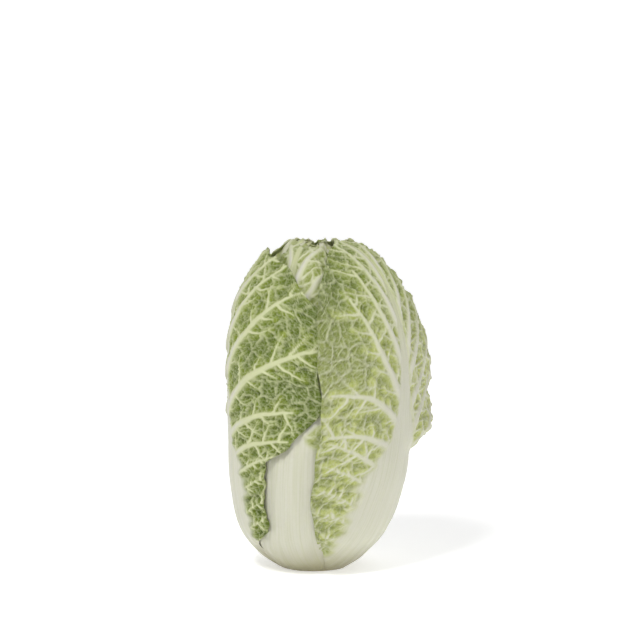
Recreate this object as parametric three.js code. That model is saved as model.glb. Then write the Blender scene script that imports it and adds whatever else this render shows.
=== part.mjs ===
// A head of Chinese white cabbage (napa), standing on its trimmed butt.
// Millimetres, +Z up. The front of the head faces -Y, and azimuths are counted from there towards +X.
//
// The head is built from the outside in. Every leaf is a curved patch of the head's shell, placed by an
// azimuth and by its station along the head's outline: 0 at the butt's rim and 1 at the crown.
// A leaf sinks under each earlier leaf that covers it by that leaf's own thickness and a little air, so
// the leaves nest without touching. The lower ends of all leaves stand on one cone, the stem.
import * as THREE from "three";

// The head's outline from the butt's rim to the crown, as [radius, height], evenly spaced along its length.
const outline = [
  [32, 0], [65, 33], [78.5, 77], [82.5, 121.5], [83.5, 166], [81.5, 211], [70, 255], [43, 289], [0, 297],
];
const outlineBeforeRim = [0, -14];
const outlineLength = 362;
const depthShare = 0.93; // the head is a little flatter front to back than side to side
// The butt sits to the left of the head's axis, and the head leans over it as far as this height.
const buttShift = { x: -6, gone: 130 };
const heartHeight = 158; // the point that the shells shrink towards
const heartShare = 0.34; // the size of the innermost shell against the outermost

const airUnderLeaf = { middle: 1.9, ends: 8 }; // leaves pack tightest at mid height
const sideFade = 38; // degrees past a leaf's side edge over which the leaves below come back up
const tipHold = 9; // mm past a leaf's tip where the leaves below still lie under it
const tipFade = 46; // and the distance over which they then come back up
const leafStart = 0.004;
const sharedRows = [leafStart, 0.06, 0.13, 0.21, 0.3, 0.4, 0.52, 0.66]; // the rows below a leaf's tip part
const tipRows = 4;
// Round the butt a stalk is this many degrees wider to each side, less and less up to this station.
const claspGone = 0.16;
const clasp = 16;
const stemShrink = 0.985;
const stemEndDrop = 3;

// Leaf thickness: the blade's envelope, with a thick rib that runs out towards the tip.
const outerBlade = { thickness: 3, rib: 6.5, columns: 12 };
const innerBlade = { thickness: 1.7, rib: 2.2, columns: 8 };
const ribEnd = 0.92;
const ribHalfWidth = { butt: 21, crown: 7 };

// Outer leaves, from the outermost inwards. Angles in degrees, stations 0 to 1.
// stalk: half width of the leaf stalk. left and right: how much wider the blade is than the stalk on
// that side, and between which stations it opens. sway: how far the midrib bows sideways at mid height.
const outerLeaves = [
  { name: "outer_leaf_right", azimuth: 45, sway: 12, stalk: 27, clasp: 0, tip: 0.94, shoulder: 0.2,
    left: { wing: 30, from: -0.08, to: 0.24 }, right: { wing: 22, from: 0.33, to: 0.46 },
    flare: { side: 1, lift: 20, from: 0.33, full: 0.41, fading: 0.54, gone: 0.84 } },
  { name: "outer_leaf_left", azimuth: -86, sway: 3, stalk: 24, clasp: 0, tip: 0.86, shoulder: 0.15,
    left: { wing: 58, from: -0.06, to: 0.5 }, right: { wing: 60, from: 0.03, to: 0.53 } },
  { name: "outer_leaf_back", azimuth: 170, sway: -6, stalk: 28, tip: 0.91, shoulder: 0.16,
    left: { wing: 46, from: 0.06, to: 0.5 }, right: { wing: 44, from: 0.1, to: 0.48 } },
  { name: "outer_leaf_front", azimuth: -28, sway: 4, stalk: 40, tip: 0.9, shoulder: 0.14,
    left: { wing: 25, from: 0.12, to: 0.5 }, right: { wing: 29, from: 0.14, to: 0.5 } },
  { name: "outer_leaf_back_right", azimuth: 112, sway: 5, stalk: 30, tip: 0.93, shoulder: 0.16,
    left: { wing: 36, from: 0.1, to: 0.5 }, right: { wing: 38, from: 0.08, to: 0.46 } },
  { name: "outer_leaf_back_left", azimuth: -140, sway: -4, stalk: 29, tip: 0.94, shoulder: 0.17,
    left: { wing: 36, from: 0.08, to: 0.46 }, right: { wing: 40, from: 0.12, to: 0.5 } },
  { name: "wrapper_leaf_front_left", azimuth: -56, sway: -4, stalk: 27, tip: 0.955, shoulder: 0.15,
    left: { wing: 38, from: 0.1, to: 0.5 }, right: { wing: 36, from: 0.12, to: 0.5 } },
  { name: "wrapper_leaf_right", azimuth: 76, sway: 4, stalk: 27, tip: 0.95, shoulder: 0.15,
    left: { wing: 36, from: 0.12, to: 0.5 }, right: { wing: 36, from: 0.1, to: 0.5 } },
  { name: "wrapper_leaf_back", azimuth: -170, sway: 4, stalk: 27, tip: 0.96, shoulder: 0.14,
    left: { wing: 36, from: 0.12, to: 0.5 }, right: { wing: 36, from: 0.1, to: 0.5 } },
].map((leaf) => ({ clasp, ...leaf, ...outerBlade }));

// Inner leaves follow the plant's own spiral, each one golden angle on from the last.
const innerLeafCount = 19;
const goldenAngle = 137.5;
const firstInnerAzimuth = 30;
const innerTips = [0.955, 0.966, 0.96, 0.971]; // tip stations, in turn
const innerLeaves = Array.from({ length: innerLeafCount }, (_, k) => {
  const wing = 33 - 0.35 * k;
  return {
    name: `inner_leaf_${String(k + 1).padStart(2, "0")}`,
    azimuth: firstInnerAzimuth + goldenAngle * k,
    sway: k % 2 ? 4 : -4,
    stalk: 25,
    clasp: 0,
    tip: innerTips[k % innerTips.length],
    shoulder: 0.13,
    left: { wing, from: 0.1, to: 0.5 },
    right: { wing, from: 0.1, to: 0.5 },
    ...innerBlade,
  };
});
const leaves = [...outerLeaves, ...innerLeaves];

const radians = (degrees) => (degrees * Math.PI) / 180;
const clamp01 = (x) => Math.min(1, Math.max(0, x));
const ease = (x) => clamp01(x) ** 2 * (3 - 2 * clamp01(x));
const mix = (a, b, x) => a + (b - a) * x;

// A point of the outline, by a uniform Catmull-Rom curve that runs on evenly past the crown.
function outlineAt(station) {
  const last = outline.length - 1;
  const pointAt = (i) => {
    if (i < 0) return outlineBeforeRim;
    return i <= last ? outline[i] : [-outline[2 * last - i][0], outline[2 * last - i][1]];
  };
  const i = Math.min(last - 1, Math.floor(clamp01(station) * last));
  const t = clamp01(station) * last - i;
  const [a, b, c, d] = [pointAt(i - 1), pointAt(i), pointAt(i + 1), pointAt(i + 2)];
  return [0, 1].map(
    (k) =>
      0.5 *
      (2 * b[k] + (c[k] - a[k]) * t + (2 * a[k] - 5 * b[k] + 4 * c[k] - d[k]) * t ** 2 +
        (3 * b[k] - a[k] - 3 * c[k] + d[k]) * t ** 3),
  );
}

// The outline's outward normal, as [radial, up].
function outlineNormal(station) {
  const step = 0.004;
  const [r0, z0] = outlineAt(station - step);
  const [r1, z1] = outlineAt(station + step);
  const length = Math.hypot(r1 - r0, z1 - z0);
  return [(z1 - z0) / length, (r0 - r1) / length];
}

// The outermost and innermost shells at a station, and the room between them along the normal.
function shellsAt(station) {
  const outer = outlineAt(station);
  const inner = [outer[0] * heartShare, mix(heartHeight, outer[1], heartShare)];
  const normal = outlineNormal(station);
  const room = (outer[0] - inner[0]) * normal[0] + (outer[1] - inner[1]) * normal[1];
  return { outer, inner, normal, room };
}

// How far the head's middle has moved sideways at a height.
const leanAt = (height) => buttShift.x * (1 - ease(height / buttShift.gone));

// A point of the head, by azimuth, station, depth under the outermost shell and lift above it.
function headPoint(azimuth, station, depth, lift = 0) {
  const { outer, inner, normal, room } = shellsAt(station);
  const share = depth / room;
  const radius = mix(outer[0], inner[0], share) + normal[0] * lift;
  const height = mix(outer[1], inner[1], share) + normal[1] * lift;
  const angle = radians(azimuth);
  return [radius * Math.sin(angle) + leanAt(height), -radius * Math.cos(angle) * depthShare, height];
}

// Where a leaf's midrib runs, how wide the leaf is on a side, and where its tip edge lies.
const midribAzimuth = (leaf, station) => leaf.azimuth + leaf.sway * Math.sin(Math.PI * station);
const sideWidth = (leaf, side, station) =>
  leaf.stalk + leaf.clasp * (1 - ease(station / claspGone)) +
  side.wing * ease((station - side.from) / (side.to - side.from));
const widthTowards = (leaf, across, station) =>
  sideWidth(leaf, across < 0 ? leaf.left : leaf.right, station);
const tipStation = (leaf, across) => leaf.tip - leaf.shoulder * Math.abs(across) ** 2.6;

// Place in a leaf: across runs from -1 at its left edge to 1 at its right edge, with the stations of
// the head itself for its height.
function acrossAt(leaf, azimuth, station) {
  const turn = ((azimuth - midribAzimuth(leaf, station) + 540) % 360 + 360) % 360 - 180;
  return turn / widthTowards(leaf, turn, station);
}

const airAt = (station) => mix(airUnderLeaf.middle, airUnderLeaf.ends, Math.abs(2 * station - 1) ** 2.3);

// How fully a leaf covers a place on the head: 1 within its edge, fading to 0 past it.
function cover(leaf, azimuth, station) {
  const across = acrossAt(leaf, azimuth, station);
  const width = widthTowards(leaf, across, station);
  const pastSide = (Math.max(0, Math.abs(across) - 1) * width) / sideFade;
  const tip = tipStation(leaf, Math.min(1, Math.abs(across)));
  const pastTip = Math.max(0, (station - tip) * outlineLength - tipHold) / tipFade;
  return 1 - ease(Math.hypot(pastSide, pastTip));
}

// A leaf's thickness at a place on the head: the blade's, and the rib's on top of it.
function thicknessAt(leaf, azimuth, station) {
  const across = acrossAt(leaf, azimuth, station);
  const turn = across * widthTowards(leaf, across, station);
  const ribWidth = mix(ribHalfWidth.butt, ribHalfWidth.crown, station);
  const rib = leaf.rib * clamp01(1 - station / ribEnd) ** 0.8 * Math.exp(-((turn / ribWidth) ** 2));
  return leaf.thickness + rib;
}

// How deep the leaf with that index lies: under every earlier leaf that covers the place.
function depthUnder(index, azimuth, station) {
  let depth = 0;
  for (const leaf of leaves.slice(0, index)) {
    const held = cover(leaf, azimuth, station);
    if (held > 0) depth += held * (thicknessAt(leaf, azimuth, station) + airAt(station));
  }
  return depth;
}

// How covered a place is by the leaves outside the one with that index, from 0 to 1.
const coveredAbove = (index, azimuth, station) =>
  1 - leaves.slice(0, index).reduce((open, leaf) => open * (1 - cover(leaf, azimuth, station)), 1);

// How far a leaf's free side stands off the head.
function liftAt(leaf, across, station) {
  if (!leaf.flare || across * leaf.flare.side <= 0) return 0;
  const { lift, from, full, fading, gone } = leaf.flare;
  const rise = ease((station - from) / (full - from)) * ease((gone - station) / (gone - fading));
  return lift * rise * Math.abs(across) ** 1.6;
}

// A closed body from two grids of points, an outer skin and an inner skin, joined round their rim.
function closedPatch(outerSkin, innerSkin) {
  const rows = outerSkin.length;
  const columns = outerSkin[0].length;
  const positions = [...outerSkin.flat(), ...innerSkin.flat()].flat();
  const outer = (r, c) => r * columns + c;
  const inner = (r, c) => rows * columns + r * columns + c;
  const faces = [];
  const quad = (a, b, c, d) => faces.push(a, b, c, a, c, d);
  for (let r = 0; r < rows - 1; r++) {
    for (let c = 0; c < columns - 1; c++) {
      quad(outer(r, c), outer(r, c + 1), outer(r + 1, c + 1), outer(r + 1, c));
      quad(inner(r, c), inner(r + 1, c), inner(r + 1, c + 1), inner(r, c + 1));
    }
    quad(outer(r, 0), outer(r + 1, 0), inner(r + 1, 0), inner(r, 0));
    const c = columns - 1;
    quad(outer(r, c), inner(r, c), inner(r + 1, c), outer(r + 1, c));
  }
  for (let c = 0; c < columns - 1; c++) {
    quad(outer(0, c), inner(0, c), inner(0, c + 1), outer(0, c + 1));
    quad(outer(rows - 1, c), outer(rows - 1, c + 1), inner(rows - 1, c + 1), inner(rows - 1, c));
  }
  return new THREE.BufferGeometry()
    .setAttribute("position", new THREE.Float32BufferAttribute(positions, 3))
    .setIndex(faces);
}

function leafGeometry(leaf, index) {
  const skins = [[], []];
  const lastShared = sharedRows.length - 1;
  for (let r = 0; r <= lastShared + tipRows; r++) {
    const outerRow = [];
    const innerRow = [];
    for (let c = 0; c <= leaf.columns; c++) {
      const across = (2 * c) / leaf.columns - 1;
      const upTip = Math.max(0, r - lastShared) / tipRows;
      const station = mix(sharedRows[Math.min(r, lastShared)], tipStation(leaf, across), upTip);
      const azimuth = midribAzimuth(leaf, station) + across * widthTowards(leaf, across, station);
      const depth = depthUnder(index, azimuth, station);
      const lift = liftAt(leaf, across, station) * (1 - coveredAbove(index, azimuth, station));
      outerRow.push(headPoint(azimuth, station, depth, lift));
      innerRow.push(headPoint(azimuth, station, depth + thicknessAt(leaf, azimuth, station), lift));
    }
    skins[0].push(outerRow);
    skins[1].push(innerRow);
  }
  return closedPatch(...skins);
}

// The heart fills what the leaves leave inside: rings of points from its foot to its crown.
const heartSides = 20;
const heartRings = 12;
const heartCrown = 0.985;
const heartAir = 1.5;
function heartGeometry() {
  const positions = [];
  const faces = [];
  for (let r = 0; r <= heartRings; r++) {
    const station = mix(leafStart, heartCrown, r / heartRings);
    for (let c = 0; c < heartSides; c++) {
      const azimuth = (360 * c) / heartSides;
      const depth = depthUnder(leaves.length, azimuth, station) + heartAir;
      positions.push(...headPoint(azimuth, station, depth));
    }
  }
  const at = (r, c) => r * heartSides + (c % heartSides);
  for (let r = 0; r < heartRings; r++)
    for (let c = 0; c < heartSides; c++)
      faces.push(at(r, c), at(r, c + 1), at(r + 1, c + 1), at(r, c), at(r + 1, c + 1), at(r + 1, c));
  const foot = positions.length / 3;
  const crown = foot + 1;
  const meanHeight = (ring) => {
    let sum = 0;
    for (let c = 0; c < heartSides; c++) sum += positions[3 * at(ring, c) + 2];
    return sum / heartSides;
  };
  const [low, high] = [meanHeight(0), meanHeight(heartRings)];
  positions.push(leanAt(low), 0, low, leanAt(high), 0, high);
  for (let c = 0; c < heartSides; c++) {
    faces.push(foot, at(0, c + 1), at(0, c));
    faces.push(crown, at(heartRings, c), at(heartRings, c + 1));
  }
  return new THREE.BufferGeometry()
    .setAttribute("position", new THREE.Float32BufferAttribute(positions, 3))
    .setIndex(faces);
}

// The stem: the cone that the leaves grow from, cut flat at the butt and ending under the heart.
const stemSides = 36;
function stemGeometry(heartFootHeight) {
  const { outer, inner } = shellsAt(0);
  const top = heartFootHeight - stemEndDrop;
  const radiusAt = (height) =>
    mix(outer[0], inner[0], (height - outer[1]) / (inner[1] - outer[1])) * stemShrink;
  const profile = [
    [0, 0], [radiusAt(0), 0], [radiusAt(top - 2), top - 2], [radiusAt(top) - 3, top], [0, top],
  ].map(([radius, height]) => new THREE.Vector2(radius, height));
  const geometry = new THREE.LatheGeometry(profile, stemSides);
  geometry.rotateX(Math.PI / 2).scale(1, depthShare, 1);
  const points = geometry.getAttribute("position");
  for (let i = 0; i < points.count; i++) points.setX(i, points.getX(i) + leanAt(points.getZ(i)));
  return geometry;
}

const material = (color, roughness) => new THREE.MeshStandardMaterial({ color, roughness, metalness: 0 });
const leafGreen = material("#b3c46c", 0.5);
const heartYellow = material("#e4e29a", 0.5);
const stemCream = material("#e6e2c8", 0.6);

const head = new THREE.Group();
function add(name, geometry, finish) {
  const mesh = new THREE.Mesh(geometry, finish);
  mesh.name = name;
  head.add(mesh);
  return mesh;
}

leaves.forEach((leaf, index) => add(leaf.name, leafGeometry(leaf, index), leafGreen));
const heart = add("heart", heartGeometry(), heartYellow);
const heartBox = new THREE.Box3().setFromBufferAttribute(heart.geometry.getAttribute("position"));
add("stem_core", stemGeometry(heartBox.min.z), stemCream);

// The part's origin is on the surface that the head stands on, under the middle of its box.
const box = new THREE.Box3().setFromObject(head);
const middle = box.getCenter(new THREE.Vector3());
head.position.set(-middle.x, -middle.y, -box.min.z);

const part = new THREE.Group();
part.add(head);

export default part;
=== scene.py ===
import math

import bpy
import numpy as np
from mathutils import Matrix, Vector


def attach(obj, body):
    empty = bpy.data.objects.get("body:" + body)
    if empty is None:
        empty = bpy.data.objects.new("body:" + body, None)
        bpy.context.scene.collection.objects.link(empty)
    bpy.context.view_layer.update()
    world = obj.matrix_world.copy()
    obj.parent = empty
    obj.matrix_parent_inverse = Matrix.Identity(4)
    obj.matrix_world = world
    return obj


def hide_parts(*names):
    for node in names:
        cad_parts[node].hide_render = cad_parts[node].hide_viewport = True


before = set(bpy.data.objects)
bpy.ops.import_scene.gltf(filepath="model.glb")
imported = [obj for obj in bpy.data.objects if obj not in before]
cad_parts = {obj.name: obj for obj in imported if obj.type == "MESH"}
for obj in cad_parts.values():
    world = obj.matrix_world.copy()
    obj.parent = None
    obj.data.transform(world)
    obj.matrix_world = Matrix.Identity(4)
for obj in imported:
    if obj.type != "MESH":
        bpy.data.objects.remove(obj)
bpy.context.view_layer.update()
print("frame loaded:", len(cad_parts), "nodes")

mm = 0.001

# The head in its own millimetres, as in the CAD: front at -Y, azimuths in degrees from there towards +X,
# stations from 0 at the butt's rim to 1 at the crown.
head = {
    "outline": [
        (32, 0), (65, 33), (78.5, 77), (82.5, 121.5), (83.5, 166),
        (81.5, 211), (70, 255), (43, 289), (0, 297),
    ],
    "beforeRim": (0, -14),
    "buttShift": -6,  # the butt sits to the left of the head's axis, and the head leans over it
    "leanGone": 130,
    "length": 362,
    "claspGone": 0.16,  # the station where a stalk's extra width round the butt has run out
    "footRoom": 0.1,  # how closely the feet press on each other, against the blades
    "depthShare": 0.93,
    "heartHeight": 158,
    "heartShare": 0.34,
    "sideFade": 22,  # mm past a leaf's side edge over which the leaf under it comes back up
    "tipHold": 3,  # mm past a leaf's tip where the leaf under it still lies low
    "tipFade": 30,  # and the distance over which that one then comes back up
}


def ease(x):
    x = np.clip(x, 0, 1)
    return x * x * (3 - 2 * x)


def mix(a, b, share):
    return a + (b - a) * share


# A point of the outline, by a uniform Catmull-Rom curve, as radius and height.
def outlineAt(station):
    points = [head["beforeRim"], *head["outline"]]
    points.append((-head["outline"][-2][0], head["outline"][-2][1]))
    points = np.array(points, float)
    last = len(head["outline"]) - 1
    along = np.clip(station, 0, 1) * last
    i = np.minimum(along.astype(int), last - 1)
    t = (along - i)[..., None]
    a, b, c, d = (points[i + k] for k in range(4))
    cubic = 3 * b - a - 3 * c + d
    return 0.5 * (2 * b + (c - a) * t + (2 * a - 5 * b + 4 * c - d) * t**2 + cubic * t**3)


def outlineNormal(station):
    step = 0.004
    run = outlineAt(station + step) - outlineAt(station - step)
    run /= np.linalg.norm(run, axis=-1, keepdims=True)
    return np.stack([run[..., 1], -run[..., 0]], -1)


def leanAt(height):
    return head["buttShift"] * (1 - ease(height / head["leanGone"]))


# A place on the head: depth is how far it lies under the outline, lift how far it stands off.
def headPoint(azimuth, station, depth, lift):
    outer = outlineAt(station)
    inner = outer * head["heartShare"]
    inner[..., 1] += head["heartHeight"] * (1 - head["heartShare"])
    normal = outlineNormal(station)
    room = ((outer - inner) * normal).sum(-1)
    spot = mix(outer, inner, (depth / room)[..., None]) + normal * lift[..., None]
    angle = np.radians(azimuth)
    x = spot[..., 0] * np.sin(angle) + leanAt(spot[..., 1])
    y = -spot[..., 0] * np.cos(angle) * head["depthShare"]
    return np.stack([x, y, np.maximum(spot[..., 1], 0)], -1)


# The butt's cut face gives the head's own axis.
stemPoints = np.array([v.co[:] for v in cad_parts["stem_core"].data.vertices])
buttFace = stemPoints[stemPoints[:, 2] < 0.01 * mm]
axisX, axisY = (buttFace.min(0)[:2] + buttFace.max(0)[:2]) / 2 - np.array([head["buttShift"] * mm, 0])


def outDirection(azimuth, station):
    normal = outlineNormal(station)
    angle = np.radians(azimuth)
    y = -normal[..., 0] * np.cos(angle) * head["depthShare"]
    return np.stack([normal[..., 0] * np.sin(angle), y, normal[..., 1]], -1)


# The leaves, outermost first. Angles in degrees, stations 0 to 1, sizes in mm.
# left and right: how much wider the blade grows than the stalk on that side, and between which stations.
# clasp: how much wider the stalk is round the butt. pale and paleLow: how pale the blade is everywhere,
# and how much paler low down on its left and right; below 0 it is darker there, which is painted shade.
# veins: each lateral as (station it leaves the rib at, station and share of the width it ends at, bow).
outerLeaves = [
    {"name": "outer_leaf_right", "azimuth": 45, "sway": 12, "stalk": 27, "clasp": 0,
     "tip": 0.94, "shoulder": 0.2,
     "left": [(30, -0.08, 0.24)], "right": [(22, 0.33, 0.46)], "flare": (1, 20, 0.33, 0.41, 0.54, 0.84),
     "pale": 0.06, "paleLow": (0.42, 0.5), "ribBow": 9, "ribScale": 1, "pocket": 2.9, "frill": 1.3,
     "grid": (168, 340), "seed": 11,
     "laterals": {-1: [(0.07, 0.15, 0.9, 0.1), (0.11, 0.21, 0.95, 0.1), (0.15, 0.27, 1.0, 0.1),
                       (0.2, 0.33, 1.0, 0.12), (0.25, 0.39, 1.0, 0.15), (0.31, 0.4, 1.0, 0.25),
                       (0.37, 0.5, 1.02, 0.3), (0.46, 0.73, 0.68, -0.12),
                       (0.54, 0.8, 0.55, -0.08), (0.635, 0.9, 0.55, -0.1), (0.73, 0.96, 0.5, -0.05)],
                  1: [(0.29, 0.45, 0.8, -0.05), (0.35, 0.56, 0.95, 0.05), (0.41, 0.64, 0.95, 0.1),
                      (0.49, 0.71, 0.9, 0.1),
                      (0.57, 0.79, 0.9, 0.05), (0.66, 0.87, 0.8, 0.0), (0.75, 0.94, 0.7, 0.0)]}},
    {"name": "outer_leaf_left", "azimuth": -86, "sway": 3, "stalk": 24, "clasp": 0,
     "tip": 0.86, "shoulder": 0.15,
     # Low on its right side this leaf is darkened: painted shade where it lies in a recess over the next
     # stalk.
     "pale": 0, "paleLow": (0, -0.5),
     "left": [(58, -0.06, 0.5)], "right": [(24, 0.08, 0.16), (15, 0.32, 0.375), (21, 0.37, 0.46)],
     "ribBow": 0, "ribScale": 0.92, "pocket": 3.2, "frill": 1.8, "grid": (172, 316), "seed": 23,
     "laterals": {1: [(0.05, 0.13, 1.0, 0.05), (0.09, 0.18, 1.0, 0.05), (0.13, 0.23, 1.0, 0.05),
                      (0.18, 0.29, 1.0, 0.1), (0.23, 0.35, 1.0, 0.1), (0.28, 0.38, 0.95, 0.2),
                      (0.34, 0.46, 0.8, 0.2), (0.42, 0.62, 1.05, 0.16),
                      (0.52, 0.76, 0.9, 0.05), (0.61, 0.82, 0.7, 0.0), (0.7, 0.87, 0.6, 0.0)]}},
    {"name": "outer_leaf_back", "azimuth": 170, "sway": -6, "stalk": 28, "tip": 0.91, "shoulder": 0.16,
     "left": [(46, 0.06, 0.5)], "right": [(44, 0.1, 0.48)],
     "ribBow": -3, "ribScale": 1.05, "pocket": 2.8, "frill": 1.6, "grid": (156, 300), "seed": 31},
    {"name": "outer_leaf_front", "azimuth": -28, "sway": 4, "stalk": 40, "tip": 0.9, "shoulder": 0.14,
     "left": [(25, 0.12, 0.5)], "right": [(29, 0.14, 0.5)],
     "ribBow": 0, "ribScale": 1.25, "pocket": 2.6, "frill": 1.6, "grid": (112, 260), "seed": 47},
    {"name": "outer_leaf_back_right", "azimuth": 112,
     "sway": 5, "stalk": 30, "tip": 0.93, "shoulder": 0.16,
     "left": [(36, 0.1, 0.5)], "right": [(38, 0.08, 0.46)],
     "ribBow": 2, "ribScale": 1.15, "pocket": 2.6, "frill": 1.6, "grid": (132, 280), "seed": 53},
    {"name": "outer_leaf_back_left", "azimuth": -140,
     "sway": -4, "stalk": 29, "tip": 0.94, "shoulder": 0.17,
     "left": [(36, 0.08, 0.46)], "right": [(40, 0.12, 0.5)],
     "ribBow": -2, "ribScale": 1.1, "pocket": 2.6, "frill": 1.6, "grid": (132, 280), "seed": 61},
    {"name": "wrapper_leaf_front_left", "azimuth": -56,
     "sway": -4, "stalk": 27, "tip": 0.955, "shoulder": 0.15,
     "left": [(38, 0.1, 0.5)], "right": [(36, 0.12, 0.5)],
     "ribBow": 0, "ribScale": 1, "pocket": 2.2, "frill": 1.5, "grid": (88, 180), "seed": 71},
    {"name": "wrapper_leaf_right", "azimuth": 76, "sway": 4, "stalk": 27, "tip": 0.95, "shoulder": 0.15,
     "left": [(36, 0.12, 0.5)], "right": [(36, 0.1, 0.5)],
     "ribBow": 0, "ribScale": 1, "pocket": 2.2, "frill": 1.5, "grid": (88, 180), "seed": 83},
    {"name": "wrapper_leaf_back", "azimuth": -170, "sway": 4, "stalk": 27, "tip": 0.96, "shoulder": 0.14,
     "left": [(36, 0.12, 0.5)], "right": [(36, 0.1, 0.5)],
     "ribBow": 0, "ribScale": 1, "pocket": 2.2, "frill": 1.5, "grid": (88, 180), "seed": 97},
]
outerBlade = {"room": 3, "rib": 6.5, "air": 1.9, "skin": 1.0}
innerBlade = {"room": 1.7, "rib": 2.2, "air": 1.2, "skin": 0.8}
innerPlan = {"count": 19, "turn": 137.5, "first": 30, "tips": (0.955, 0.966, 0.96, 0.971)}

for leaf in outerLeaves:
    leaf.update(outerBlade)
    leaf.setdefault("clasp", 16)


def innerLeaf(k):
    wing = 33 - 0.35 * k
    return {
        "name": f"inner_leaf_{k + 1:02d}", "azimuth": innerPlan["first"] + innerPlan["turn"] * k,
        "sway": 4 if k % 2 else -4, "stalk": 25, "clasp": 0, "tip": innerPlan["tips"][k % 4],
        "shoulder": 0.13, "left": [(wing, 0.1, 0.5)], "right": [(wing, 0.1, 0.5)], "ribBow": 0,
        "ribScale": 0.8, "pocket": 1.4, "frill": 1.3, "grid": (44, 72), "seed": 101 + k, **innerBlade,
    }


leaves = outerLeaves + [innerLeaf(k) for k in range(innerPlan["count"])]
for order, leaf in enumerate(leaves):
    leaf.setdefault("pale", min(1, order / 16))
    leaf.setdefault("paleLow", (0.15, 0.15))

# The rib's half width along a leaf, and how its thickness runs out towards the tip.
rib = {
    "stations": (0, 0.1, 0.16, 0.21, 0.26, 0.31, 0.36, 0.43, 0.52, 0.65, 0.8, 0.97),
    "halfWidths": (34, 38, 43, 43, 45, 41, 23, 12.5, 8, 5, 2.8, 1.2),
    "thickEnd": 0.92,
    "bulge": 1.6,
    "fluteHeight": 0.3,
    "fluteWidth": 1.7,
    "edgeThin": 10,  # mm from a leaf's side edge where its rib begins to thin
}


def midribAzimuth(leaf, station):
    return leaf["azimuth"] + leaf["sway"] * np.sin(np.pi * station)


def widthTowards(leaf, side, station):
    foot = leaf["stalk"] + leaf["clasp"] * (1 - ease(station / head["claspGone"]))

    def sideWidth(stages):
        return foot + sum(wing * ease((station - start) / (end - start)) for wing, start, end in stages)

    return np.where(side < 0, sideWidth(leaf["left"]), sideWidth(leaf["right"]))


def tipStation(leaf, across):
    return leaf["tip"] - leaf["shoulder"] * np.abs(across) ** 2.6


def millimetresPerDegree(station):
    share = (1 + head["depthShare"]) / 2
    return np.pi / 180 * share * np.maximum(outlineAt(station)[..., 0], 6)


def turnFrom(leaf, azimuth, station):
    return (azimuth - midribAzimuth(leaf, station) + 180) % 360 - 180


def ribHalfWidth(leaf, station):
    return leaf["ribScale"] * np.interp(station, rib["stations"], rib["halfWidths"])


def ribThickness(leaf, turn, station):
    wide = ribHalfWidth(leaf, station) / millimetresPerDegree(station)
    run = np.clip(1 - station / rib["thickEnd"], 0, 1) ** 0.8
    return leaf["rib"] * run * np.exp(-np.abs(turn / wide) ** 3)


def cover(leaf, azimuth, station, sideFade, tipHold, tipFade):
    turn = turnFrom(leaf, azimuth, station)
    width = widthTowards(leaf, turn, station)
    pastSide = np.maximum(0, np.abs(turn) - width) * millimetresPerDegree(station) / sideFade
    tip = tipStation(leaf, np.minimum(1, np.abs(turn / width)))
    pastTip = np.maximum(0, (station - tip) * head["length"] - tipHold) / tipFade
    return 1 - ease(np.hypot(pastSide, pastTip))


def depthUnder(order, azimuth, station):
    depth = np.zeros_like(azimuth)
    for leaf in leaves[:order]:
        held = cover(leaf, azimuth, station, head["sideFade"], head["tipHold"], head["tipFade"])
        turn = turnFrom(leaf, azimuth, station)
        toEdge = (widthTowards(leaf, turn, station) - np.abs(turn)) * millimetresPerDegree(station)
        loose = mix(head["footRoom"], 1, ease(station / head["claspGone"]))
        ribLayer = ribThickness(leaf, turn, station) * ease(toEdge / rib["edgeThin"])
        depth += held * ((leaf["room"] + leaf["air"]) * loose + ribLayer)
    return depth


def openShare(order, azimuth, station):
    seen = np.ones_like(azimuth)
    for leaf in leaves[:order]:
        seen *= 1 - cover(leaf, azimuth, station, 8, 0, 8)
    return seen


def flareLift(leaf, across, station):
    if "flare" not in leaf:
        return np.zeros_like(across)
    side, lift, start, full, fading, gone = leaf["flare"]
    rise = ease((station - start) / (full - start)) * ease((gone - station) / (gone - fading))
    return lift * rise * np.clip(across * side, 0, 1) ** 1.6


# Veins on a leaf laid flat: x across from the rib and s along it, in mm.
veinPlan = {
    "step": 4,
    "branchFrom": 0.24,  # laterals that leave the rib below this station bear only twigs
    "lateral": {"width": (4.6, 1.3), "height": (2.6, 1.2), "near": 1.0},
    "branch": {"width": (1.5, 0.8), "height": (1.6, 0.8), "near": 0.9, "gap": 10, "length": (10, 30)},
    "twig": {"width": (0.85, 0.6), "height": (0.8, 0.4), "near": 0.55, "gap": 6.5, "length": (4, 9)},
}


def veinSegments(points, kind, scale=1):
    count = len(points)
    along = np.linspace(0, 1, count)
    width = mix(*veinPlan[kind]["width"], along) * scale
    height = mix(*veinPlan[kind]["height"], along) * scale
    near = np.full(count, veinPlan[kind]["near"])
    table = np.column_stack([points, width, height, near])
    return np.hstack([table[:-1], table[1:]])


def curvedVein(start, heading, length, bend, random):
    count = max(3, int(length / veinPlan["step"]) + 1)
    headings = heading + bend * np.linspace(0, 1, count) + random.normal(0, 0.2, count)
    steps = length / count * np.column_stack([np.sin(headings), np.cos(headings)])
    return np.vstack([start, start + np.cumsum(steps, 0)])


def sideVeins(parent, kind, random):
    made = []
    runs = np.diff(parent, axis=0)
    lengths = np.hypot(*runs.T)
    reach = np.concatenate([[0], np.cumsum(lengths)])
    gap = veinPlan[kind]["gap"]
    place, side = gap * random.uniform(0.5, 0.9), random.choice([-1, 1])
    while place < reach[-1] - gap * 0.3:
        i = min(np.searchsorted(reach, place) - 1, len(runs) - 1)
        start = parent[i] + runs[i] * (place - reach[i]) / lengths[i]
        heading = math.atan2(runs[i][0], runs[i][1]) + side * random.uniform(0.85, 1.25)
        length = random.uniform(*veinPlan[kind]["length"])
        made.append(curvedVein(start, heading, length, -side * random.uniform(0.1, 0.5), random))
        place += gap * random.uniform(0.75, 1.25)
        side = -side
    return made


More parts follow.
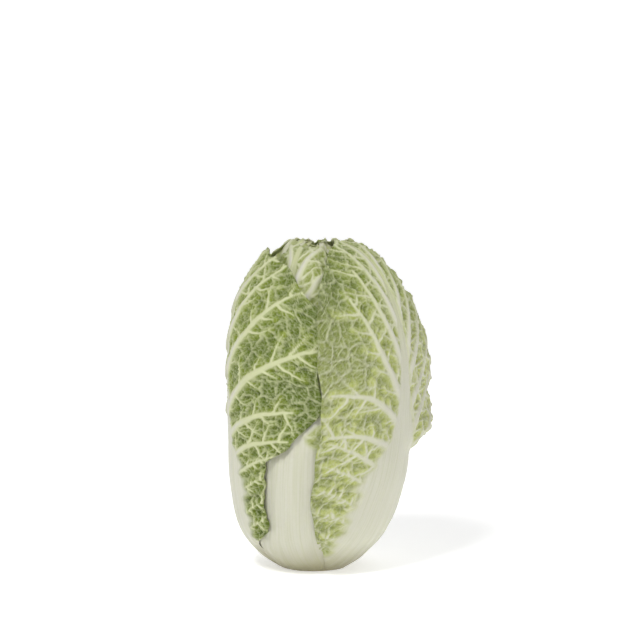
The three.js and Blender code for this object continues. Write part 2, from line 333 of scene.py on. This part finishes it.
def lateralPoints(leaf, side, lateral, random):
    start, end, share, bow = lateral
    width = float(widthTowards(leaf, np.array(side), np.array(end)) * millimetresPerDegree(np.array(end)))
    a = np.array([0, start * head["length"]])
    c = np.array([side * share * width, end * head["length"]])
    b = (a + c) / 2 + bow * np.array([-side * (c[1] - a[1]), abs(c[0] - a[0])])
    count = max(4, int(np.hypot(*(c - a)) / veinPlan["step"]))
    t = np.linspace(0, 1, count)[:, None]
    points = a * (1 - t) ** 2 + 2 * b * t * (1 - t) + c * t**2
    points[1:] += np.cumsum(random.normal(0, 0.35, (count - 1, 2)), 0)
    return points


def plainLaterals(random):
    made = []
    station = 0.08
    while station < 0.8:
        rise = mix(0.12, 0.2, min(1, station / 0.5)) + random.normal(0, 0.012)
        made.append((station, station + rise, random.uniform(0.85, 1.05), random.uniform(0, 0.15)))
        station += mix(0.05, 0.085, min(1, station / 0.4)) * random.uniform(0.85, 1.15)
    return made


def growVeins(leaf):
    random = np.random.default_rng(leaf["seed"])
    segments = []
    for side in (-1, 1):
        for lateral in leaf.get("laterals", {}).get(side) or plainLaterals(random):
            main = lateralPoints(leaf, side, lateral, random)
            scale = float(mix(0.5, 1, ease((lateral[0] - 0.1) / 0.25)))
            segments.append(veinSegments(main, "lateral", scale))
            kind = "branch" if lateral[0] > veinPlan["branchFrom"] else "twig"
            for branch in sideVeins(main, kind, random):
                segments.append(veinSegments(branch, "branch"))
                segments += [veinSegments(twig, "twig") for twig in sideVeins(branch, "twig", random)]
    return np.vstack(segments).astype(np.float32)


def veinField(x, s, segments):
    # The highest ridge and the strongest pull towards a vein at each place.
    x0, s0, w0, h0, n0, x1, s1, w1, h1, _ = segments.T
    dx, ds = x1 - x0, s1 - s0
    flat = np.column_stack([x.ravel(), s.ravel()]).astype(np.float32)
    ridge, near = np.empty(len(flat)), np.empty(len(flat))
    for i in range(0, len(flat), 4096):
        px, ps = flat[i:i + 4096, :1] - x0, flat[i:i + 4096, 1:] - s0
        t = np.clip((px * dx + ps * ds) / (dx * dx + ds * ds), 0, 1)
        far = (px - t * dx) ** 2 + (ps - t * ds) ** 2
        width = w0 + (w1 - w0) * t
        ridge[i:i + 4096] = ((h0 + (h1 - h0) * t) * np.exp(-far / width**2)).max(1)
        near[i:i + 4096] = (n0 * np.exp(-far / (1.6 * width + 2) ** 2)).max(1)
    return ridge.reshape(x.shape), near.reshape(x.shape)


# How far in from a leaf's edge it is ruffled, and how low down the edge of its stalk is tucked in.
edgePlan = {
    "frillReach": 9, "tuck": 2.2, "tuckReach": 4, "tuckFull": 0.08, "tuckFade": 0.1, "tuckedLeaves": 4,
}
trunkReach = 55  # mm from the rib over which the laterals stay as white as the stalk


def leafSurface(order, columns, rows):
    # One leaf as a grid: where each point lies, which way is out, and what its finish needs to know.
    leaf = leaves[order]
    random = np.random.default_rng(leaf["seed"] + 1000)
    phases = random.uniform(0, 2 * np.pi, 6)
    across = np.linspace(-1, 1, columns + 1)[None, :].repeat(rows + 1, 0)
    up = np.linspace(0, 1, rows + 1)[:, None].repeat(columns + 1, 1)
    tip = tipStation(leaf, across)
    tip = tip + 0.006 * np.sin(across * 9 + phases[0]) + 0.004 * np.sin(across * 21 + phases[1])
    station = tip * up
    s = station * head["length"]
    waver = 1 + 0.018 * np.sin(s / 17 + phases[2]) + 0.01 * np.sin(s / 6.3 + phases[3])
    width = widthTowards(leaf, across, station) * mix(1, waver, np.abs(across) ** 3)
    turn = across * width
    azimuth = midribAzimuth(leaf, station) + turn
    scale = millimetresPerDegree(station)
    bow = leaf["ribBow"] * np.sin(np.pi * np.clip(station / 1.1, 0, 1)) ** 2
    x = turn * scale - bow
    ridge, near = veinField(x, s, growVeins(leaf))
    uneven = 1 + 0.07 * np.sin(s / 4.3 + phases[1]) + 0.05 * np.sin(s / 1.9 + phases[2])
    ribWidth = ribHalfWidth(leaf, station) * uneven
    blade = ease((np.abs(x) - 0.75 * ribWidth) / (0.3 * ribWidth + 0.8))
    toEdge = (1 - np.abs(across)) * width * scale
    toTip = (tip - station) * head["length"]
    edge = np.exp(-(toEdge / edgePlan["frillReach"]) ** 2) + np.exp(-(toTip / edgePlan["frillReach"]) ** 2)
    wave = 0.5 + 0.5 * np.sin(s / 2.9 + x / 4.1 + phases[4] + 1.3 * np.sin(s / 9 + phases[5]))
    seen = openShare(order, azimuth, station)
    shown = mix(0.3, 1, seen)
    pocket = (1 - near) * blade * shown
    reach = ease(station / 0.06)
    lift = flareLift(leaf, across, station) * seen
    lift = lift + leaf["frill"] * np.clip(edge, 0, 1) * wave * shown * reach * blade
    bulge = rib["bulge"] * np.clip(1 - (x / (1.15 * ribWidth)) ** 2, 0, 1)
    bulge = bulge * np.clip(1 - station / 0.7, 0, 1)
    flutes = rib["fluteHeight"] * np.sin(x / rib["fluteWidth"] + phases[3] + np.sin(s / 40))
    flutes = flutes * (1 - blade) * np.clip(1 - station / 0.6, 0, 1)
    tucked = edgePlan["tuck"] if order < edgePlan["tuckedLeaves"] else 0
    tuckShare = 1 - ease((station - edgePlan["tuckFull"]) / edgePlan["tuckFade"])
    tuck = tucked * np.exp(-(toEdge / edgePlan["tuckReach"]) ** 2) * tuckShare
    lift = lift + (bulge + flutes) * reach - tuck - leaf["pocket"] * pocket * reach
    low = 1 - ease((station - 0.48) / 0.35)
    # How pale the blade is; where paleLow is below 0 the value turns negative and the blade is darkened
    # instead, which is painted shade.
    paleAndShade = leaf["pale"] + low * np.where(across < 0, *leaf["paleLow"])
    depth = depthUnder(order, azimuth, station)
    skin = leaf["skin"] * mix(0.45, 1, np.clip(np.minimum(toEdge, toTip) / 6, 0, 1))
    thick = skin + ribThickness(leaf, turn, station) * ease(toEdge / rib["edgeThin"])
    return {
        "outer": headPoint(azimuth, station, depth, lift + ridge * blade * shown),
        "inner": headPoint(azimuth, station, depth + thick, lift),
        "out": outDirection(azimuth, station),
        "place": np.stack([x, s, np.zeros_like(x)], -1) * mm,
        "blade": blade,
        "vein": np.clip(ridge / 1.6, 0, 1) * blade,
        "trunk": ease((ridge - 1) / 1.3) * (1 - ease((np.abs(x) - ribWidth) / trunkReach)),
        "pocket": np.clip((1 - near) * blade, 0, 1),
        "seen": seen,
        "height": station,
        "paleAndShade": paleAndShade,
    }


# A closed mesh from a leaf's grid: the outer skin in full, the inner one at half its fineness, and a rim.
def leafMesh(name, surface):
    rows, columns = np.array(surface["blade"].shape) - 1
    coarse = (slice(None, None, 2), slice(None, None, 2))
    halfRows, halfColumns = rows // 2, columns // 2
    outerIds = np.arange((rows + 1) * (columns + 1)).reshape(rows + 1, columns + 1)
    innerIds = np.arange((halfRows + 1) * (halfColumns + 1)).reshape(halfRows + 1, halfColumns + 1)
    innerIds += outerIds.size

    def squares(ids):
        return np.stack([ids[:-1, :-1], ids[:-1, 1:], ids[1:, 1:], ids[1:, :-1]], -1).reshape(-1, 4)

    quads = [squares(outerIds), squares(innerIds)[:, [0, 3, 2, 1]]]
    triangles = []
    sides = [
        (outerIds[:, 0], innerIds[:, 0], False), (outerIds[:, -1], innerIds[:, -1], True),
        (outerIds[0], innerIds[0], True), (outerIds[-1], innerIds[-1], False),
    ]
    for fine, rough, turned in sides:
        a, b, c, d, e = fine[:-1:2], fine[1::2], fine[2::2], rough[:-1], rough[1:]
        three = np.stack([a, b, d], -1)
        four = np.stack([b, c, e, d], -1)
        triangles.append(three[:, ::-1] if turned else three)
        quads.append(four[:, ::-1] if turned else four)
    mesh = bpy.data.meshes.new(name)
    points = np.vstack([surface["outer"].reshape(-1, 3), surface["inner"][coarse].reshape(-1, 3)]) * mm
    points += np.array([axisX, axisY, 0])
    faces = np.vstack(quads).tolist() + np.vstack(triangles).tolist()
    mesh.from_pydata(points.tolist(), [], faces)
    mesh.polygons.foreach_set("use_smooth", np.ones(len(mesh.polygons), bool))

    def keep(key, values, kind="FLOAT", field="value"):
        data = mesh.attributes.new(key, kind, "POINT").data
        data.foreach_set(field, values.astype(np.float32).ravel())

    for key in ("out", "place"):
        both = np.vstack([surface[key].reshape(-1, 3), surface[key][coarse].reshape(-1, 3)])
        keep(key, both, "FLOAT_VECTOR", "vector")
    for key in ("blade", "vein", "trunk", "pocket", "seen", "height", "paleAndShade"):
        keep(key, np.concatenate([surface[key].ravel(), surface[key][coarse].ravel()]))
    keep("skin", np.concatenate([np.ones(outerIds.size), np.zeros(innerIds.size)]))
    return mesh


class Wire:
    # A node's output that can stand in Python sums; each sum adds a Math node.
    def __init__(self, graph, socket):
        self.graph, self.socket = graph, socket

    def math(self, operation, *values):
        return self.graph.add("ShaderNodeMath", {"operation": operation}, dict(enumerate(values)))

    def __add__(self, other):
        return self.math("ADD", self, other)

    def __sub__(self, other):
        return self.math("SUBTRACT", self, other)

    def __rsub__(self, other):
        return self.math("SUBTRACT", other, self)

    def __mul__(self, other):
        return self.math("MULTIPLY", self, other)

    def __pow__(self, other):
        return self.math("POWER", self, other)

    __radd__ = __add__
    __rmul__ = __mul__


class Graph:
    def __init__(self, tree):
        self.tree = tree

    def add(self, kind, settings=None, inputs=None, output=0):
        node = self.tree.nodes.new(kind)
        for key, value in (settings or {}).items():
            if key == "stops":
                for element, (position, colour) in zip(node.color_ramp.elements, value):
                    element.position, element.color = position, colour
            else:
                setattr(node, key, value)
        for key, value in (inputs or {}).items():
            if isinstance(value, Wire):
                self.tree.links.new(value.socket, node.inputs[key])
            else:
                node.inputs[key].default_value = value
        return Wire(self, node.outputs[output])

    def step(self, value, low, high):
        ends = {"Value": value, "From Min": low, "From Max": high}
        return self.add("ShaderNodeMapRange", {"interpolation_type": "SMOOTHSTEP"}, ends)

    def vector(self, operation, a, b):
        key = "Scale" if operation == "SCALE" else 1
        return self.add("ShaderNodeVectorMath", {"operation": operation}, {0: a, key: b})

    def colour(self, share, a, b, blend="MIX"):
        settings = {"data_type": "RGBA", "blend_type": blend}
        return self.add("ShaderNodeMix", settings, {0: share, 6: a, 7: b}, 2)

    def noise(self, place, scale, detail=2.0, output=0):
        inputs = {"Vector": place, "Scale": scale, "Detail": detail}
        return self.add("ShaderNodeTexNoise", {"noise_dimensions": "3D"}, inputs, output)

    def cells(self, place, scale):
        settings = {"voronoi_dimensions": "2D", "feature": "DISTANCE_TO_EDGE"}
        return self.add("ShaderNodeTexVoronoi", settings, {"Vector": place, "Scale": scale})


# The finer net of veins and the crinkle between them, raised on a leaf's outer skin.
netPlan = {
    "Cell size": 0.0058,
    "Coarse cells": 0.0155,
    "Lump size": 0.0085,
    "Lump height": 0.0045,
    "Coarse height": 0.0013,
    "Net height": 0.0012,
    "Crinkle height": 0.0008,
    "Stalk line depth": 0.0003,
}


def reliefTree():
    tree = bpy.data.node_groups.new("leafRelief", "GeometryNodeTree")
    sockets = [("Geometry", "NodeSocketGeometry"), *[(key, "NodeSocketFloat") for key in netPlan],
               ("Seed", "NodeSocketFloat"), ("Finish", "NodeSocketMaterial")]
    for name, kind in sockets:
        tree.interface.new_socket(name, in_out="INPUT", socket_type=kind)
    tree.interface.new_socket("Geometry", in_out="OUTPUT", socket_type="NodeSocketGeometry")
    graph = Graph(tree)
    source = tree.nodes.new("NodeGroupInput")
    given = {name: Wire(graph, source.outputs[name]) for name, _ in sockets}

    def stored(name, kind="FLOAT"):
        return graph.add("GeometryNodeInputNamedAttribute", {"data_type": kind}, {"Name": name})

    shift = graph.add("ShaderNodeCombineXYZ", None, {"X": given["Seed"], "Y": given["Seed"] * 0.37})
    place = graph.vector("ADD", stored("place", "FLOAT_VECTOR"), shift)
    warp = graph.vector("SUBTRACT", graph.noise(place, 90, 3, output=1), (0.5, 0.5, 0.5))
    bent = graph.vector("ADD", place, graph.vector("SCALE", warp, 0.011))
    scale = given["Cell size"] ** -1
    net = 1 - graph.step(graph.cells(bent, scale), 0.0, 0.17)
    coarse = 1 - graph.step(graph.cells(bent, given["Coarse cells"] ** -1), 0.0, 0.1)
    lumps = graph.noise(bent, given["Lump size"] ** -1, 1) - 0.5
    crinkle = 1 - graph.step(graph.cells(bent, scale * 2.2), 0.0, 0.3)
    stretched = graph.vector("MULTIPLY", place, (420, 9, 0))
    lines = graph.noise(stretched, 1, 1)
    blade, skin = stored("blade"), stored("skin")
    shown = blade * skin * (0.25 + 0.75 * stored("seen")) * graph.step(stored("height"), 0.03, 0.12)
    calm = 1 - stored("vein")
    raised = net * given["Net height"] + crinkle * given["Crinkle height"]
    raised = raised + coarse * given["Coarse height"]
    raised = (raised + lumps * given["Lump height"] * stored("pocket")) * shown * calm
    raised = raised - lines * given["Stalk line depth"] * (1 - blade) * skin
    offset = graph.vector("SCALE", stored("out", "FLOAT_VECTOR"), raised)
    moved = graph.add("GeometryNodeSetPosition", None, {"Geometry": given["Geometry"], "Offset": offset})
    kept = moved
    for name, value in (("net", net * blade), ("coarse", coarse * blade)):
        kept = graph.add("GeometryNodeStoreNamedAttribute", {"data_type": "FLOAT", "domain": "POINT"},
                         {"Geometry": kept, "Name": name, "Value": value})
    whole = graph.add("GeometryNodeRealizeInstances", None, {"Geometry": kept})
    dressed = graph.add("GeometryNodeSetMaterial", None, {"Geometry": whole, "Material": given["Finish"]})
    sink = tree.nodes.new("NodeGroupOutput")
    tree.links.new(dressed.socket, sink.inputs["Geometry"])
    return tree


def bakeTree(name, mesh, tree, values):
    # Runs a node tree over a mesh and leaves the result as a plain mesh.
    piece = bpy.data.objects.new(name, mesh)
    bpy.context.scene.collection.objects.link(piece)
    modifier = piece.modifiers.new("tree", "NODES")
    modifier.node_group = tree
    for item in tree.interface.items_tree:
        if item.in_out == "INPUT" and item.name in values:
            modifier[item.identifier] = values[item.name]
    graph = bpy.context.evaluated_depsgraph_get()
    grown = piece.evaluated_get(graph)
    baked = bpy.data.meshes.new_from_object(grown, preserve_all_data_layers=True, depsgraph=graph)
    piece.modifiers.remove(modifier)
    piece.data = baked
    baked.name = name
    return piece


def newFinish(name):
    finish = bpy.data.materials.new(name)
    finish.use_nodes = True
    return finish, Graph(finish.node_tree), finish.node_tree.nodes["Principled BSDF"]


def linkShader(graph, shader, values):
    for key, value in values.items():
        if isinstance(value, Wire):
            graph.tree.links.new(value.socket, shader.inputs[key])
        else:
            shader.inputs[key].default_value = value


leafColours = {
    "stalk": (0.60, 0.59, 0.50, 1),
    "stalkShade": (0.50, 0.505, 0.35, 1),
    # The foot colour darkens the bottom of the stalks and the stem: partly their real tan browning, partly
    # painted contact shadow.
    "foot": (0.22, 0.195, 0.10, 1),
    "vein": (0.57, 0.59, 0.36, 1),
    "green": (0.19, 0.25, 0.02, 1),
    # The deep green, also used as painted shade in the pockets between the veins and low on one side of a
    # leaf.
    "deep": (0.058, 0.10, 0.004, 1),
    "light": (0.31, 0.37, 0.05, 1),
    "young": (0.63, 0.65, 0.27, 1),
}


def leafFinish():
    finish, graph, shader = newFinish("leafSkin")

    def stored(key, output=2):
        return graph.add("ShaderNodeAttribute", {"attribute_name": key}, None, output)

    place = stored("place", 1)
    blade, vein, trunk, net, coarse, pocket = (
        stored(key) for key in ("blade", "vein", "trunk", "net", "coarse", "pocket"))
    height, paleAndShade = stored("height"), stored("paleAndShade")
    patches = graph.noise(place, 45, 3)
    specks = graph.noise(place, 420, 4)
    fineNet = 1 - graph.step(graph.cells(place, 320), 0.0, 0.16)
    green = graph.colour(graph.step(patches, 0.35, 0.68), leafColours["green"], leafColours["light"])
    # Painted shade: the pockets between the veins are darkened as if they lay in the shadow of their
    # recesses.
    green = graph.colour(graph.step(pocket, 0.3, 1.0) * 0.7, green, leafColours["deep"])
    green = graph.colour(graph.step(height, 0.55, 0.92) * 0.6, green, leafColours["deep"])
    # Painted shade: the blade is darkened where its paleness runs below 0, and the pockets keep less of
    # their paleness.
    green = graph.colour(paleAndShade * -1, green, leafColours["deep"])
    pale = paleAndShade * (1 - 0.3 * graph.step(pocket, 0.3, 1.0))
    veins = graph.colour(paleAndShade * 1.4, leafColours["vein"], leafColours["stalk"])
    green = graph.colour(pale, green, leafColours["young"])
    green = graph.colour(fineNet * 0.2, green, veins)
    green = graph.colour(net * 0.42, green, veins)
    green = graph.colour(coarse * 0.6, green, veins)
    ridge = graph.colour(graph.step(trunk, 0.0, 0.8), veins, leafColours["stalk"])
    veined = graph.colour(graph.step(vein, 0.1, 0.75), green, ridge)
    lines = graph.noise(graph.vector("MULTIPLY", place, (700, 14, 0)), 1, 2)
    lineShare = graph.step(lines, 0.42, 0.7) * 0.45
    stalk = graph.colour(lineShare, leafColours["stalk"], leafColours["stalkShade"])
    # Darker towards the butt: real tan browning together with painted contact shadow.
    stalk = graph.colour((1 - graph.step(height, 0.0, 0.13)) * 0.9, stalk, leafColours["foot"])
    stalk = graph.colour(graph.step(height, 0.5, 0.85), stalk, leafColours["vein"])
    colour = graph.colour(blade, stalk, veined)
    colour = graph.colour(specks * 0.12, colour, leafColours["light"])
    grain = fineNet * 0.35 + specks * 0.5
    bump = graph.add("ShaderNodeBump", None, {"Strength": 0.35, "Distance": 0.0004, "Height": grain})
    linkShader(graph, shader, {
        "Base Color": colour,
        "Roughness": 0.36 + 0.16 * blade + 0.1 * specks,
        "Normal": bump,
        "Specular IOR Level": 0.3,
        "Subsurface Weight": 0.12,
        "Subsurface Radius": (0.8, 1.0, 0.35),
        "Subsurface Scale": 0.0015,
    })
    return finish


stemColours = {
    "cut": (0.55, 0.50, 0.32, 1),
    "browned": (0.40, 0.29, 0.14, 1),
    "fibre": (0.62, 0.60, 0.45, 1),
    "rim": (0.34, 0.23, 0.10, 1),
}


def stemFinish():
    finish, graph, shader = newFinish("cutStem")
    coords = graph.add("ShaderNodeTexCoord", None, None, 3)
    centred = graph.add("ShaderNodeMapping", None, {"Vector": coords, "Location": (-axisX, -axisY, 0)})
    radius = graph.add("ShaderNodeVectorMath", {"operation": "LENGTH"}, {0: centred}, 1)
    blotches = graph.noise(centred, 90, 4)
    fibres = graph.step(graph.cells(centred, 420), 0.0, 0.3)
    rings = graph.step(radius + 0.006 * blotches, 0.026, 0.034)
    up = graph.add("ShaderNodeSeparateXYZ", None, {"Vector": coords}, 2)
    browned = graph.step(blotches, 0.4, 0.75) * 0.6
    colour = graph.colour(browned, stemColours["cut"], stemColours["browned"])
    colour = graph.colour(fibres * 0.35, colour, stemColours["fibre"])
    colour = graph.colour(rings * 0.6, colour, stemColours["rim"])
    # The stem's side above the cut face takes the foot colour: real browning with painted contact shadow
    # in it.
    colour = graph.colour(graph.step(up, 0.0006, 0.003), colour, leafColours["foot"])
    grain = fibres * 0.5 + blotches
    bump = graph.add("ShaderNodeBump", None, {"Strength": 0.5, "Distance": 0.0006, "Height": grain})
    linkShader(graph, shader, {"Base Color": colour, "Roughness": 0.55 + 0.2 * blotches, "Normal": bump,
                               "Subsurface Weight": 0.1, "Subsurface Scale": 0.002})
    return finish


def addLeaves():
    tree = reliefTree()
    finish = leafFinish()
    for order, leaf in enumerate(leaves):
        surface = leafSurface(order, *leaf["grid"])
        share = leaf["pocket"] / 3
        values = {**netPlan, "Seed": leaf["seed"] * 0.713, "Finish": finish}
        for key in ("Lump height", "Coarse height", "Net height", "Crinkle height"):
            values[key] *= share
        piece = bakeTree(leaf["name"] + "_grown", leafMesh(leaf["name"], surface), tree, values)
        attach(piece, "root")
        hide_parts(leaf["name"])
    print("leaves grown:", len(leaves))


# The heart: the youngest leaves, folded on each other into one crumpled bud.
heartPlan = {
    "sides": 120, "rings": 110, "crown": 0.985, "air": 1.5, "folds": 7, "foldHeight": 2.6, "seed": 5,
    "yellow": (0.74, 0.74, 0.28, 1), "cream": (0.84, 0.82, 0.5, 1), "vein": (0.9, 0.88, 0.62, 1),
}


def addHeart():
    sides, rings = heartPlan["sides"], heartPlan["rings"]
    azimuth = np.linspace(0, 360, sides + 1)[None, :-1].repeat(rings + 1, 0)
    station = np.linspace(0.02, heartPlan["crown"], rings + 1)[:, None].repeat(sides, 1)
    depth = depthUnder(len(leaves), azimuth, station) + heartPlan["air"]
    spiral = np.radians(azimuth) * heartPlan["folds"] + station * 16
    random = np.random.default_rng(heartPlan["seed"])
    phase = random.uniform(0, 6, 3)
    crumple = np.abs(np.sin(spiral / 2 + 0.8 * np.sin(station * 31 + phase[0])))
    crumple += 0.35 * np.sin(np.radians(azimuth) * 23 + station * 70 + phase[1])
    lift = -heartPlan["foldHeight"] * (1 - crumple)
    points = headPoint(azimuth, station, depth, lift)
    ids = np.arange(points.shape[0] * sides).reshape(-1, sides)
    after = np.roll(ids, -1, 1)
    faces = np.stack([ids[:-1], after[:-1], after[1:], ids[1:]], -1).reshape(-1, 4).tolist()
    flat = points.reshape(-1, 3)
    foot, crown = points[0].mean(0), points[-1].mean(0)
    faces += [(len(flat), b, a) for a, b in zip(ids[0].tolist(), after[0].tolist())]
    faces += [(len(flat) + 1, a, b) for a, b in zip(ids[-1].tolist(), after[-1].tolist())]
    flat = np.vstack([flat, foot, crown]) * mm + np.array([axisX, axisY, 0])
    mesh = bpy.data.meshes.new("heart_grown")
    mesh.from_pydata(flat.tolist(), [], faces)
    mesh.polygons.foreach_set("use_smooth", np.ones(len(mesh.polygons), bool))
    finish, graph, shader = newFinish("heartSkin")
    coords = graph.add("ShaderNodeTexCoord", None, None, 3)
    patches = graph.noise(coords, 110, 3)
    lines = 1 - graph.step(graph.cells(coords, 160), 0.0, 0.14)
    colour = graph.colour(graph.step(patches, 0.35, 0.7), heartPlan["yellow"], heartPlan["cream"])
    colour = graph.colour(lines * 0.4, colour, heartPlan["vein"])
    grain = lines + patches
    bump = graph.add("ShaderNodeBump", None, {"Strength": 0.5, "Distance": 0.0005, "Height": grain})
    linkShader(graph, shader, {"Base Color": colour, "Roughness": 0.42 + 0.15 * patches, "Normal": bump,
                               "Subsurface Weight": 0.2, "Subsurface Scale": 0.002})
    mesh.materials.append(finish)
    piece = bpy.data.objects.new("heart_grown", mesh)
    bpy.context.scene.collection.objects.link(piece)
    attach(piece, "root")
    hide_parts("heart")
    print("heart made")


# The stem: a cone under the leaves, cut across at the butt with a knife.
stemPlan = {
    "sides": 144, "rings": 40, "rimRound": 1.2, "coneRings": 46, "inset": 0.3, "endDrop": 2, "seed": 9,
}


def addStem():
    sides = stemPlan["sides"]
    outer = outlineAt(np.array(0.0))
    inner = outer * head["heartShare"] + np.array([0, head["heartHeight"] * (1 - head["heartShare"])])
    rim = np.zeros(1)
    top = float(headPoint(rim, rim, depthUnder(len(leaves), rim, rim), rim)[0, 2]) - stemPlan["endDrop"]
    rise = np.linspace(0, 1, stemPlan["coneRings"])
    rimRound, inset = stemPlan["rimRound"], stemPlan["inset"]
    coneRadii = mix(outer[0], inner[0], rise * top / inner[1]) - inset
    cone = np.column_stack([coneRadii, rimRound + rise * (top - rimRound)])
    faceRadii = np.linspace(0.6, outer[0] - rimRound, stemPlan["rings"])
    face = np.column_stack([faceRadii, np.zeros(len(faceRadii))])
    turn = np.linspace(0, np.pi / 2, 5)[1:-1]
    cornerRadii = outer[0] - rimRound + (rimRound - inset) * np.sin(turn)
    corner = np.column_stack([cornerRadii, rimRound * (1 - np.cos(turn))])
    profile = np.vstack([face, corner, cone])
    angle = np.linspace(0, 2 * np.pi, sides + 1)[:-1]
    random = np.random.default_rng(stemPlan["seed"])
    phase = random.uniform(0, 6, 4)
    radius = profile[:, :1] * np.ones((1, sides))
    height = profile[:, 1:] * np.ones((1, sides))
    onFace = (np.arange(len(profile)) < len(face))[:, None]
    dish = 0.5 + 0.22 * np.sin(radius / 4.1 + 3 * np.cos(angle + phase[0]))
    dish = dish + 0.2 * np.sin(angle * 5 + radius / 2.3)
    dish = dish * ease((outer[0] - 2 - radius) / 5)
    height = np.where(onFace, height + dish, height)
    ripple = 0.35 * np.sin(angle * 11 + phase[1]) + 0.25 * np.sin(angle * 29 + height / 3 + phase[2])
    radius = np.where(onFace, radius, radius - 0.6 + ripple)
    x = radius * np.sin(angle) + leanAt(height)
    points = np.stack([x, -radius * np.cos(angle) * head["depthShare"], height], -1)
    ids = np.arange(len(profile) * sides).reshape(-1, sides)
    after = np.roll(ids, -1, 1)
    faces = np.stack([ids[:-1], after[:-1], after[1:], ids[1:]], -1).reshape(-1, 4).tolist()
    flat = points.reshape(-1, 3)
    faces += [(len(flat), b, a) for a, b in zip(ids[0].tolist(), after[0].tolist())]
    faces += [(len(flat) + 1, a, b) for a, b in zip(ids[-1].tolist(), after[-1].tolist())]
    flat = np.vstack([flat, points[0].mean(0), points[-1].mean(0)]) * mm + np.array([axisX, axisY, 0])
    mesh = bpy.data.meshes.new("stem_cut")
    mesh.from_pydata(flat.tolist(), [], faces)
    mesh.polygons.foreach_set("use_smooth", np.ones(len(mesh.polygons), bool))
    mesh.materials.append(stemFinish())
    piece = bpy.data.objects.new("stem_cut", mesh)
    bpy.context.scene.collection.objects.link(piece)
    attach(piece, "root")
    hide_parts("stem_core")
    print("stem made")


# A round pale sweep for a floor, soft lights and the camera.
studio = {
    "floorRadius": 1.9, "sweepRadius": 0.9, "floorColour": (0.86, 0.86, 0.86, 1),
    "floorGlow": 0.5, "world": 0.1,
    "lights": [  # place, size and power
        ((-0.7, -1.15, 2.0), 0.5, 31),
        ((1.6, -1.0, 1.0), 1.2, 8),
        ((0.2, 1.2, 1.9), 1.5, 10),
    ],
    "lens": 120, "viewWidth": 0.576, "viewElevation": 6.5, "aimHeight": 0.224,
}


def addStudio():
    scene = bpy.context.scene
    arc = np.linspace(0, np.pi / 2, 24)
    flatRadii = np.array([0.02, 0.3, 0.8, 1.3])
    floorRadius, sweep = studio["floorRadius"], studio["sweepRadius"]
    radii = np.concatenate([flatRadii, floorRadius + sweep * np.sin(arc)])
    heights = np.concatenate([np.zeros(len(flatRadii)), sweep * (1 - np.cos(arc))])
    angle = np.linspace(0, 2 * np.pi, 97)[:-1]
    points = np.stack([radii[:, None] * np.sin(angle), -radii[:, None] * np.cos(angle),
                       heights[:, None] * np.ones(len(angle))], -1)
    ids = np.arange(len(radii) * len(angle)).reshape(len(radii), -1)
    after = np.roll(ids, -1, 1)
    faces = np.stack([ids[:-1], ids[1:], after[1:], after[:-1]], -1).reshape(-1, 4).tolist()
    faces.append(ids[0].tolist())
    mesh = bpy.data.meshes.new("floor")
    mesh.from_pydata(points.reshape(-1, 3).tolist(), [], faces)
    mesh.polygons.foreach_set("use_smooth", np.ones(len(mesh.polygons), bool))
    finish, _, shader = newFinish("paleFloor")
    shader.inputs["Base Color"].default_value = studio["floorColour"]
    shader.inputs["Roughness"].default_value = 0.55
    shader.inputs["Emission Color"].default_value = (1, 1, 1, 1)
    shader.inputs["Emission Strength"].default_value = studio["floorGlow"]
    mesh.materials.append(finish)
    floor = bpy.data.objects.new("floor", mesh)
    scene.collection.objects.link(floor)

    scene.world = bpy.data.worlds.new("studio")
    scene.world.use_nodes = True
    background = scene.world.node_tree.nodes["Background"]
    background.inputs["Color"].default_value = (1, 1, 1, 1)
    background.inputs["Strength"].default_value = studio["world"]
    scene.view_settings.view_transform = "Standard"

    target = np.array([axisX, axisY, studio["aimHeight"] * 0.7])
    for number, (place, size, power) in enumerate(studio["lights"]):
        data = bpy.data.lights.new(f"softbox{number + 1}", "AREA")
        data.size, data.energy = size, power
        light = bpy.data.objects.new(data.name, data)
        scene.collection.objects.link(light)
        light.location = place
        light.rotation_euler = direction(target - np.array(place))

    data = bpy.data.cameras.new("camera")
    data.lens, data.sensor_width = studio["lens"], 36
    camera = bpy.data.objects.new("camera", data)
    scene.collection.objects.link(camera)
    tilt = math.radians(studio["viewElevation"])
    distance = studio["viewWidth"] * data.lens / data.sensor_width
    back = np.array([0, -math.cos(tilt), math.sin(tilt)])
    aim = np.array([axisX, axisY, studio["aimHeight"]])
    camera.location = aim + back * distance
    camera.rotation_euler = direction(-back)
    data.clip_end = 20
    scene.camera = camera
    print("studio set")


def direction(towards):
    return Vector(towards.tolist()).to_track_quat("-Z", "Y").to_euler()


addLeaves()
addHeart()
addStem()
addStudio()
